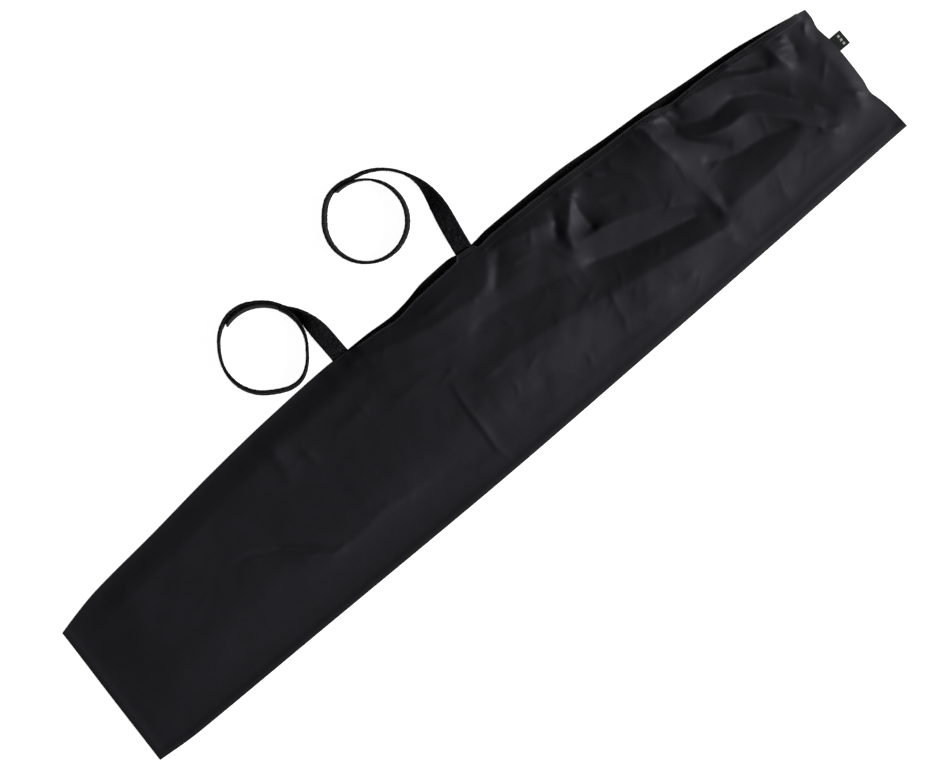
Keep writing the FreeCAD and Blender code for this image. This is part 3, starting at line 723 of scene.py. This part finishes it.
def upper_grid():
    """Top points of the whole upper layer: rows up to the fold line, then rows across the lip."""
    coarse = stations([LEFT_X, MOUTH_X0 - 40], 3.5)
    xs = np.concatenate([coarse, stations([MOUTH_X0 - 40, MOUTH_X0, MOUTH_X1, RIGHT_X], 2)[1:]])
    low, edge = low_y(xs), upper_edge_y(xs)
    guide = np.where(xs < MOUTH_X0, edge - 5.2 - 3 * smooth((MOUTH_X0 - xs) / 40), fold_y(xs))
    guide = np.where(xs > MOUTH_X1, edge - 6.5, guide)
    body = low + (guide - low) * np.linspace(0, 1, BODY_ROWS + 1)[:, None]
    lip = guide + (edge - guide) * np.linspace(0, 1, LIP_ROWS + 1)[1:, None]
    y = np.concatenate([body, lip])
    x = bent_x(np.broadcast_to(xs, y.shape), y)
    return np.stack([x, y, top_z(x, y)], axis=-1), xs


def upper_layer():
    """The front cloth and the lip, which share the points of the fold line."""
    grid, xs = upper_grid()
    cells = np.zeros((grid.shape[0] - 1, grid.shape[1] - 1), bool)
    middle = (xs[:-1] + xs[1:]) / 2
    cells[BODY_ROWS:, (middle > MOUTH_X0) & (middle < MOUTH_X1)] = True
    cloth = slab("front_cloth", grid, CLOTH, NYLON, ~cells)
    lip = slab("front_lip_cloth", grid, CLOTH * 0.8, NYLON, cells)
    return cloth, lip


def lower_layer():
    """The back cloth, which lies on the floor."""
    xs = stations([LEFT_X, MOUTH_X0, MOUTH_X1, RIGHT_X], 6)
    low, high = low_y(xs), high_y(xs)
    v = np.linspace(0, 1, 35) ** 0.85
    y = low + (high - low) * v[:, None]
    x = bent_x(np.broadcast_to(xs, y.shape), y)
    grid = np.stack([x, y, back_z(x, y)], axis=-1)
    # Its nylon is the darker copy, painted shade.
    return slab("back_cloth", grid, CLOTH - 0.02, NYLON_LOWER_PAINTED_SHADE)


def back_facing():
    """Matte facing tape on the lower layer, seen between the lip and the edge behind it."""
    xs = stations([-80, MOUTH_X1 - 2], 3)
    v = np.linspace(0, 1, 9)
    y = high_y(xs) - BACK_FACING_W + (BACK_FACING_W - 0.5) * v[:, None]
    x = np.broadcast_to(xs, y.shape)
    rng = np.random.default_rng(3)
    grid = np.stack([x, y, back_z(x, y) + 0.62 + rng.normal(0, 0.03, y.shape)], axis=-1)
    grid[-1, :, 1] += rng.normal(0, 0.12, len(xs))
    return slab("back_mouth_facing", grid, 0.6, FACING)


def lip_path(inset, x0, x1, above=0.0):
    """Points along the lip at a distance in from its edge, and the outward direction there."""
    xs = stations([x0, x1], 2)
    slope = lip_y(xs + 0.5) - lip_y(xs - 0.5)
    outward = unit_rows(np.stack([-slope, np.ones(len(xs))], axis=1))
    x = xs - outward[:, 0] * inset
    y = lip_y(xs) - outward[:, 1] * inset
    return np.stack([x, y, top_z(x, y) + above], axis=1), outward


def lip_hem():
    """The hem: cloth turned under the lip and rolled over its edge."""
    path, outward = lip_path(0.6, MOUTH_X0 + 1, MOUTH_X1 - 1)
    roll = [(4.6, -1.05), (0.3, -1.05), (-0.45, -0.9), (-0.85, -0.45), (-0.8, 0.05), (-0.4, 0.42),
            (0.1, 0.52), (0.6, 0.4), (0.95, 0.1), (0.9, -0.05), (0.0, -0.05), (-0.25, -0.3), (-0.2, -0.6),
            (0.3, -0.62), (4.6, -0.62)]
    rings = []
    for p, o in zip(path, outward):
        rings.append(np.array([[p[0] - o[0] * d, p[1] - o[1] * d, p[2] + h] for d, h in roll]))
    points, faces = tube_mesh(rings)
    return make_object("front_lip_hem_roll", points, faces, NYLON)


def front_facing():
    """Facing tape on the underside of the lip."""
    xs = stations([MOUTH_X0 + 2, MOUTH_X1 - 2], 3)
    inner = np.maximum(fold_y(xs) + 0.8, lip_y(xs) - FRONT_FACING_W)
    outer = lip_y(xs) - 1.2
    v = np.linspace(0, 1, 6)
    y = inner + (outer - inner) * v[:, None]
    x = np.broadcast_to(xs, y.shape)
    grid = np.stack([x, y, top_z(x, y) - 1.12], axis=-1)
    return slab("front_lip_facing", grid, 0.5, FACING)


def edge_path(edge, inset, x0, x1, z=SEAM_Z):
    """Points beside one long edge of the lower layer."""
    xs = stations([x0, x1], 6)
    return np.stack([xs, edge(xs) + inset, np.full(len(xs), z)], axis=1)


def end_path(end, inset):
    """Points beside one end of the lower layer."""
    ys = stations([-78.0, 76.0], 5)
    return np.stack([end(ys) + inset, ys, np.full(len(ys), SEAM_Z)], axis=1)


# ---- the straps ----
def hermite_path(points, first, last, step):
    """A smooth path through plan points with given directions at its ends."""
    p = np.array(points, float)
    chord = np.linalg.norm(np.diff(p, axis=0), axis=1)
    tangent = np.zeros(p.shape)
    for i in range(1, len(p) - 1):
        a, b = chord[i - 1], chord[i]
        tangent[i] = ((p[i] - p[i - 1]) / a * b + (p[i + 1] - p[i]) / b * a) / (a + b)
    tangent[0], tangent[-1] = first, last
    out = [p[0]]
    for i, length in enumerate(chord):
        for t in np.linspace(0, 1, max(int(length / step), 2) + 1)[1:]:
            out.append(hermite(t, p[i], length * tangent[i], p[i + 1], length * tangent[i + 1]))
    return np.array(out)


def loop_of(name):
    """Centre and centre-line radius of a strap's loop, from its mount."""
    mount = mounts[name + "_loop"]
    centre = np.array(mount["pos_m"][:2]) / MM
    return centre, mount["dims"]["r_mm"] + HALF_TAPE


def wound_radius(spec, radius, degrees):
    """Centre-line radius of the wound strap, from the outer layer round to the inner one."""
    start, stop = spec["settle_deg"]
    outer = OUTER_LAYER + spec["outer_lift"]
    for at, spread, height in spec["outer_bumps"]:
        outer += height * math.exp(-((degrees - at) / spread) ** 2)
    sag = sum(drop * (1 - smooth(abs(degrees - at) / half)) for at, half, drop in spec["sags"])
    return radius + outer * (1 - smooth((degrees - start) / (stop - start))) + sag


def wound_point(spec, centre, radius, degrees):
    a = math.radians(degrees)
    r = wound_radius(spec, radius, degrees)
    return centre + r * np.array([math.cos(a), math.sin(a)])


def leaned(spec):
    """How far an upright tape leans in plan for each millimetre of its height."""
    return np.array([*spec["top_lean"], 0.0]) / STRAP_W


def strap_frames(name, spec, step=1.6):
    """Centre, width and thickness directions along the whole strap, from under the cloth to its end."""
    root = np.array(joints[name + "_swing"]["pos_m"]) / MM
    centre, radius = loop_of(name)
    lean = math.radians(spec["lean"])
    heading = np.array([math.sin(lean), math.cos(lean)])
    join = wound_point(spec, centre, radius, spec["join_deg"])
    ahead = wound_point(spec, centre, radius, spec["join_deg"] + 0.3)
    behind = wound_point(spec, centre, radius, spec["join_deg"] - 0.3)
    last = (ahead - behind) / np.linalg.norm(ahead - behind)
    lead = hermite_path([root[:2]] + spec["lead"] + [join], heading, last, step)
    run = run_length(lead)
    t = run / run[-1]
    twist = math.pi / 2 * smooth((t - spec["twist"][0]) / (spec["twist"][1] - spec["twist"][0]))
    on_floor = STRAP_W / 2 * np.sin(twist) + STRAP_T / 2 * np.cos(twist) + 0.2 * np.sin(2 * twist)
    z = on_floor + (root[2] - STRAP_T / 2) * (1 - smooth(t / 0.42))
    sewn = [root[:2] - heading * d for d in np.arange(SEWN_L, 0.1, -step)]
    tab_from = spec["tab_deg"][0]
    tape_end = 360 + tab_from - math.degrees(0.2 / radius)
    wound_count = int(math.radians(tape_end - spec["join_deg"]) * radius / step)
    wound = [wound_point(spec, centre, radius, a)
             for a in np.linspace(spec["join_deg"], tape_end, wound_count + 1)[1:]]
    plan = np.concatenate([sewn, lead, wound])
    heights = np.concatenate([np.full(len(sewn), root[2]), z, np.full(len(wound), STRAP_W / 2)])
    twists = np.concatenate([np.zeros(len(sewn)), twist, np.full(len(wound), math.pi / 2)])
    centres = np.column_stack([plan, heights])
    along = unit_rows(np.gradient(centres, axis=0))
    right = unit_rows(np.column_stack([along[:, 1], -along[:, 0], np.zeros(len(along))]))
    upright = np.array([0, 0, 1])
    wide = right * np.cos(twists)[:, None] + upright * np.sin(twists)[:, None]
    thick = np.cross(along, wide)
    wide = wide + leaned(spec) * np.sin(twists)[:, None] ** 3
    return centres, along, wide, thick


def tape_section(width, thickness):
    """Cross-section of a tape with rounded selvedges, as (across, through) pairs."""
    half, deep = width / 2, thickness / 2
    corner = deep * 0.8
    side = [(half - corner * (1 - math.cos(a)), deep - corner * (1 - math.sin(a)))
            for a in np.linspace(0, math.pi / 2, 4)]
    inner = [(half * f, deep) for f in (0.75, 0.4, 0.0, -0.4, -0.75)]
    upper = side + inner + [(-x, y) for x, y in side[::-1]]
    return upper + [(x, -y) for x, y in upper[::-1]]


def ribbon(name, frames, width, thickness, material, seed, rough, thin=0.0):
    """A tape along frames, with a slightly uneven surface; it starts thinner where it is sewn down."""
    centres, _, wide, thick = frames
    rng = np.random.default_rng(seed)
    section = tape_section(width, thickness)
    full = 1 - thin * (1 - smooth((run_length(centres) - SEWN_L + 2) / 18))
    rings = []
    for c, w, t, k in zip(centres, wide, thick, full):
        jitter = rng.normal(0, rough, len(section))
        rings.append(np.array([c + w * (x + np.sign(x) * j * 0.5) + t * (y * k + np.sign(y) * j * k)
                               for (x, y), j in zip(section, jitter)]))
    points, faces = tube_mesh(rings)
    points[:, 2] = np.maximum(points[:, 2], 0.03)
    return make_object(name, points, faces, material)


def pile(name, frames, seed, skip):
    """Fine bent fibres along a tape's faces and selvedges, after the first few frames."""
    centres, along, wide, thick = frames
    rng = np.random.default_rng(seed)
    parts = []
    for _ in range(PILE_FIBRES):
        i = rng.integers(skip, len(centres) - 1)
        on_edge = rng.random() < 0.45
        face = rng.choice([-1, 1])
        if on_edge:
            across, through, out = face * STRAP_W / 2, rng.uniform(-0.9, 0.9), wide[i] * face
        else:
            across, through, out = rng.uniform(-9, 9), face * STRAP_T / 2, thick[i] * face
        foot = centres[i] + wide[i] * across + thick[i] * through - out * 0.15
        lean = along[i] * rng.normal(0, 0.7) + wide[i] * rng.normal(0, 0.35) + thick[i] * rng.normal(0, 0.35)
        tall = rng.uniform(0.35, 1.0)
        tip = foot + (out + lean * 0.8) * tall
        middle = foot + (out * 0.75 + lean * 0.15) * tall
        radii = rng.uniform(0.05, 0.09) * np.array([1.0, 0.9, 0.4])
        points, faces = fibre((foot, middle, tip), np.cross(out, along[i]), along[i], radii)
        points[:, 2] = np.maximum(points[:, 2], 0.02)
        parts.append((points, faces))
    return joined(name, parts, PILE)


def tab_arc(name, spec, radius):
    """Frames along the arc of a strap's loop that the hook tab covers."""
    centre, _ = loop_of(name)
    first, last = spec["tab_deg"]
    count = int(math.radians(last - first) * radius / 1.2)
    angles = np.radians(np.linspace(first, last, count + 1))
    out = np.column_stack([np.cos(angles), np.sin(angles), np.zeros(len(angles))])
    centres = out * radius + np.array([centre[0], centre[1], STRAP_W / 2])
    along = np.column_stack([-np.sin(angles), np.cos(angles), np.zeros(len(angles))])
    wide = np.tile([0.0, 0.0, 1.0], (len(angles), 1))
    thick = np.cross(along, wide)
    return centres, along, wide + leaned(spec), thick


def hook_rows(name, frames, seed):
    """Rows of tiny hooks on the tab's outer face."""
    centres, along, wide, thick = frames
    rng = np.random.default_rng(seed)
    parts = []
    for i in range(1, len(centres) - 1):
        for across in np.arange(-8.0, 8.1, HOOK_PITCH):
            foot = centres[i] + wide[i] * (across + rng.normal(0, 0.15)) + thick[i] * (TAB_T / 2 - 0.1)
            lean = wide[i] * rng.choice([-1, 1]) * 0.25
            path = [foot, foot + thick[i] * 0.4, foot + thick[i] * 0.55 + lean]
            parts.append(fibre(path, along[i], wide[i], (0.11, 0.11, 0.11)))
    return joined(name, parts, HOOKS)


def tab_stitches(name, spec):
    """Box of stitches that holds the hook tab to the end of the tape."""
    centre, radius = loop_of(name)
    outer = radius - HALF_TAPE + TAB_T + 0.12
    first = spec["tab_deg"][0] + math.degrees(0.9 / radius)
    wide = math.degrees(7.0 / radius)           # the box is 7 mm wide

    def at(degrees, z):
        a = math.radians(degrees)
        lean = leaned(spec) * (z - STRAP_W / 2)
        return (centre[0] + outer * math.cos(a) + lean[0], centre[1] + outer * math.sin(a) + lean[1], z)

    parts = []
    for z in (2.2, STRAP_W - 2.2):
        for k in range(3):
            start, end = first + wide * k / 3, first + wide * (k + 0.75) / 3
            parts.append(stitch(at(start, z), at(end, z), 0.26, 0.05))
    for degrees in (first, first + wide):
        for k in range(6):
            z = 2.6 + 2.35 * k
            parts.append(stitch(at(degrees, z), at(degrees + 0.01, z + 1.8), 0.26, 0.05))
    return joined(name + "_tab_stitches", parts, THREAD)


def bartack(name, centre, lean, width=14.0, depth=2.2, pitch=0.62):
    """A dense bar of short stitches across a strap's root, on the upper cloth."""
    turn = math.radians(lean)
    across = np.array([math.cos(turn), -math.sin(turn)])
    along = np.array([math.sin(turn), math.cos(turn)])
    parts = []
    for k in range(int(width / pitch)):
        s = -width / 2 + pitch * k
        ends = (np.array(centre) + across * s - along * depth / 2,
                np.array(centre) + across * (s + 0.3) + along * depth / 2)
        parts.append(stitch(*[(*p, float(top_z(*p)) + 0.05) for p in ends], 0.24, 0.2))
    return joined(name, parts, THREAD)


# ---- the label ----
LABEL_LOW, LABEL_HIGH = (np.array(corner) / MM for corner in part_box("label"))
LABEL_PLY = 0.5
MARK_SIZE, MARK_PITCH = 2.6, 4.35


def label_bow(from_seam, y):
    """How far the label bows up at a distance from its seam."""
    across = (y - LABEL_LOW[1]) / (LABEL_HIGH[1] - LABEL_LOW[1])
    return 0.25 * math.sin(across * math.pi) * smooth(from_seam / 10)


def label_piece():
    """Small woven label: two plies that meet in a rounded fold."""
    seam, middle, fold = LABEL_LOW[0] - 2.0, LABEL_LOW[0] + 6, LABEL_HIGH[0]
    profile = [(seam, 0.05), (middle, 0.1), (fold - 0.9, 0.2), (fold - 0.25, 0.45), (fold, 0.8),
               (fold - 0.25, 1.15), (fold - 0.9, 1.4), (middle, 1.45), (seam, 1.3),
               (seam, 1.3 - LABEL_PLY), (middle, 1.45 - LABEL_PLY), (fold - 1.1, 1.4 - LABEL_PLY),
               (fold - 0.7, 0.8), (fold - 1.1, 0.2 + LABEL_PLY * 0.8), (middle, 0.1 + LABEL_PLY),
               (seam, 0.05 + LABEL_PLY)]
    rings = []
    for y in np.linspace(LABEL_LOW[1], LABEL_HIGH[1], 14):
        rings.append(np.array([(x, y, z + label_bow(x - LABEL_LOW[0], y)) for x, z in profile]))
    points, faces = tube_mesh(rings)
    return make_object("label_tab", points, faces, LABEL_CLOTH, crisp=50)


def label_marks():
    """Three plain pale squares woven into the label's face."""
    parts = []
    for k in range(3):
        x, y = LABEL_LOW[0] + 5.2, LABEL_LOW[1] + 2.6 + k * MARK_PITCH
        z = 1.44 + label_bow(6.5, y + MARK_SIZE / 2)
        rings = []
        for inset, up in ((0, 0), (0.2, 0.14)):
            x0, x1 = x + inset, x + MARK_SIZE - inset
            y0, y1 = y + inset, y + MARK_SIZE - inset
            rings.append(np.array([(x0, y0, z + up), (x1, y0, z + up), (x1, y1, z + up), (x0, y1, z + up)]))
        parts.append(tube_mesh(rings))
    return joined("label_squares", parts, LABEL_MARK, crisp=40)


# ---- build ----
def dress(obj, body, slot_name, *nodes):
    """Puts a piece on its body and hides the CAD nodes that it stands for."""
    if nodes:
        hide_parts(*nodes)
    if body:
        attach(obj, body)
    return obj


def on_lip(obj, slot_name, *nodes):
    """A piece on the lip: hides its CAD nodes and bakes its place into its points."""
    dress(obj, None, slot_name, *nodes)
    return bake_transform(obj)


def make_sleeve():
    cloth, lip = upper_layer()
    dress(cloth, "sleeve", "nylon", "front_panel")
    back = dress(lower_layer(), "sleeve", "nylon", "back_panel")
    facing = dress(back_facing(), "sleeve", "matte_tape", "back_mouth_tape")
    on_lip(lip, "nylon")
    hem = on_lip(lip_hem(), "nylon", "front_lip_hem")
    under = on_lip(front_facing(), "matte_tape", "front_lip_tape")
    path, _ = lip_path(HEM_ROW_OUTER, MOUTH_X0 + 3, MOUTH_X1 - 3, 0.1)
    outer = on_lip(stitch_row("hem_stitches_outer", path), "thread", "hem_thread_outer")
    path, _ = lip_path(HEM_ROW_INNER, INNER_ROW_X0, INNER_ROW_X1, 0.1)
    inner = on_lip(stitch_row("hem_stitches_inner", path), "thread", "hem_thread_inner")
    rows = {
        "back_tape_thread": ("back_facing_stitches", edge_path(high_y, -2.8, MOUTH_X0, MOUTH_X1 - 4, 1.9)),
        "long_seam_thread": ("long_seam_stitches", edge_path(low_y, 1.1, -482, 480)),
        "closed_side_thread": ("closed_side_stitches", edge_path(high_y, -1.4, -476, -106)),
        "left_end_thread": ("left_end_stitches", end_path(left_x, 1.2)),
        "right_end_thread": ("right_end_stitches", end_path(right_x, -1.2)),
    }
    for node, (name, path) in rows.items():
        dress(stitch_row(name, path, 0.22, 0.15), "sleeve", "thread", node)


def root_span(name, spec):
    """Where a strap bends at its root: start and end of the bend, in metres."""
    root = np.array(joints[name + "_swing"]["pos_m"])
    lean = math.radians(spec["lean"])
    sideways = 0.35 if name == "strap_1" else 0.0
    heading = np.array([math.sin(lean) - sideways, math.cos(lean), 0])
    heading /= np.linalg.norm(heading)
    return tuple(root - heading * 0.0015), tuple(root + heading * 0.0075)


def make_strap(name, spec, seed):
    frames = strap_frames(name, spec)
    start, end = root_span(name, spec)
    tape = ribbon(name + "_webbing", frames, STRAP_W, STRAP_T, PILE, seed, 0.12, 0.36)
    dress(tape, None, "loop_tape", name + "_tape", name + "_sewn_end")
    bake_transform(tape)
    fuzz = dress(pile(name + "_pile", frames, seed + 1, skip=18), None, "loop_tape")
    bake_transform(fuzz)

    _, radius = loop_of(name)
    tab_frames = tab_arc(name, spec, radius - HALF_TAPE + TAB_T / 2)
    tab = dress(ribbon(name + "_hook_end", tab_frames, STRAP_W - 0.6, TAB_T, HOOKS, seed + 2, 0.05), None,
                "hook_tape", name + "_hook_tab")
    hooks = dress(hook_rows(name + "_hooks", tab_frames, seed + 3), None, "hook_tape")
    seam = dress(tab_stitches(name, spec), None, "thread", name + "_tab_thread")
    for piece in (tab, hooks, seam):
        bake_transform(piece)


make_sleeve()
for number, (strap_name, strap_spec) in enumerate(STRAPS.items()):
    make_strap(strap_name, strap_spec, 20 + 10 * number)

dress(bartack("strap_1_bar_stitches", (-92.5, 108.8), STRAPS["strap_1"]["lean"]), "sleeve", "thread",
      "strap_1_bartack")
on_lip(bartack("strap_2_bar_stitches", (68.3, 107.0), STRAPS["strap_2"]["lean"]), "thread",
       "strap_2_bartack")

dress(label_piece(), "label", "label", "label")
dress(label_marks(), "label", "label")


# ---- studio ----
FLOOR_HALF, FLOOR_Z = 4000.0, -0.4
KEY_ZENITH, KEY_DISTANCE, KEY_SIZE, KEY_POWER = 60, 16.0, (6.8, 8.4), 2400


def make_floor():
    """A plain floor under the sleeve."""
    steps = np.linspace(-FLOOR_HALF, FLOOR_HALF, 9)
    x, y = np.meshgrid(steps, steps)
    points = np.stack([x.ravel(), y.ravel(), np.full(x.size, FLOOR_Z)], axis=1)
    floor = make_object("studio_floor", points, grid_quads(*x.shape).reshape(-1, 4), floor_finish())


def softbox(name, direction, zenith, distance, size, power):
    """A rectangular light that faces the sleeve; direction is its bearing in the floor plane, in degrees."""
    light = bpy.data.lights.new(name, "AREA")
    light.shape = "RECTANGLE"
    light.size, light.size_y = size
    light.energy = power
    made = bpy.data.objects.new(name, light)
    a, tilt = math.radians(direction), math.radians(zenith)
    made.location = (distance * math.sin(tilt) * math.cos(a), distance * math.sin(tilt) * math.sin(a),
                     distance * math.cos(tilt))
    made.rotation_euler = (0, tilt, a)
    bpy.context.scene.collection.objects.link(made)


PICTURE_TURN = -40.1      # the sleeve lies at this angle across the picture, in degrees
make_floor()
softbox("key_light", PICTURE_TURN, KEY_ZENITH, KEY_DISTANCE, KEY_SIZE, KEY_POWER)

world = bpy.data.worlds.new("studio")
world.use_nodes = True
world.node_tree.nodes["Background"].inputs["Color"].default_value = (1, 1, 1, 1)
world.node_tree.nodes["Background"].inputs["Strength"].default_value = 0.055
bpy.context.scene.world = world

LENS, SENSOR = 100.0, 36.0
VIEW_CENTRE = (-16.3 * MM, 11.7 * MM)
PICTURE_WIDTH = 0.928     # metres of floor across the picture
camera_data = bpy.data.cameras.new("camera")
camera_data.lens = LENS
camera_data.sensor_width = SENSOR
camera = bpy.data.objects.new("camera", camera_data)
camera.location = (*VIEW_CENTRE, PICTURE_WIDTH * LENS / SENSOR)
camera.rotation_euler = (0, 0, math.radians(PICTURE_TURN))
bpy.context.scene.collection.objects.link(camera)
bpy.context.scene.camera = camera
bpy.context.scene.view_settings.view_transform = "Standard"
bpy.context.scene.view_settings.look = "None"
